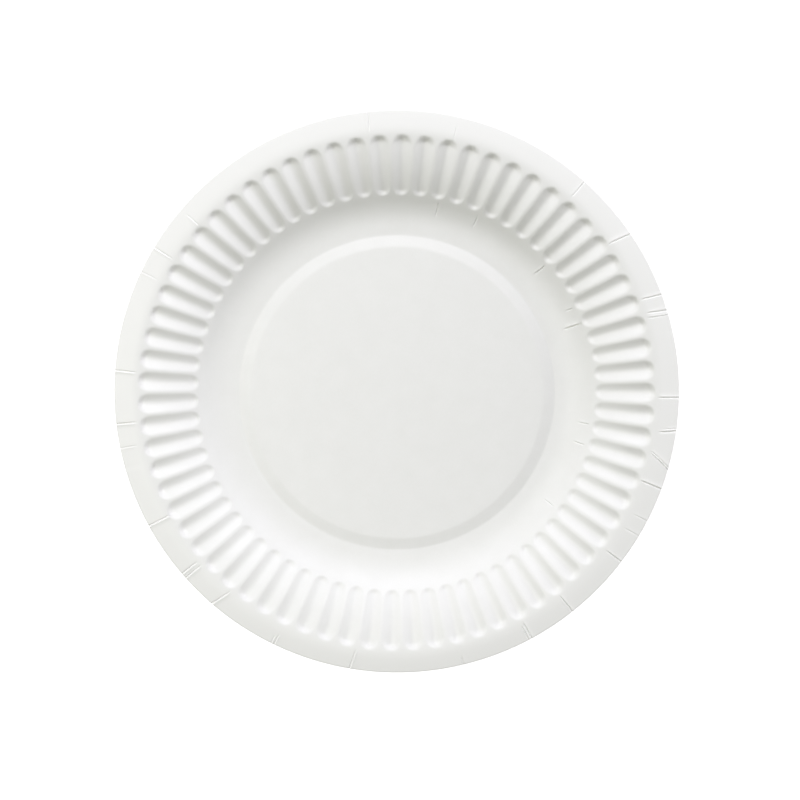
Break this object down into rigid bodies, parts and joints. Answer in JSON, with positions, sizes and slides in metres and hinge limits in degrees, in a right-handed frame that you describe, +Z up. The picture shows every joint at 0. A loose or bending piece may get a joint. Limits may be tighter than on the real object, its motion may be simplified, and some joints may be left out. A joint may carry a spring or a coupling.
{
  "type": "paper plate",
  "caption": "Round white paper plate with a raised flat centre, a fluted sloping wall and a plain rim rolled over at the edge.",
  "frame": {"origin": "centre of the ring that the plate stands on, at the level of the table", "axes": "+Z up along the plate's axis; +X and +Y level"},
  "size_m": [0.23, 0.23, 0.0171],
  "materials": {
    "coated_board": "matt, lightly calendered white coating over wood-fibre board"
  },
  "bodies": {
    "root": {"paper_plate": "coated_board"}
  },
  "joints": []
}
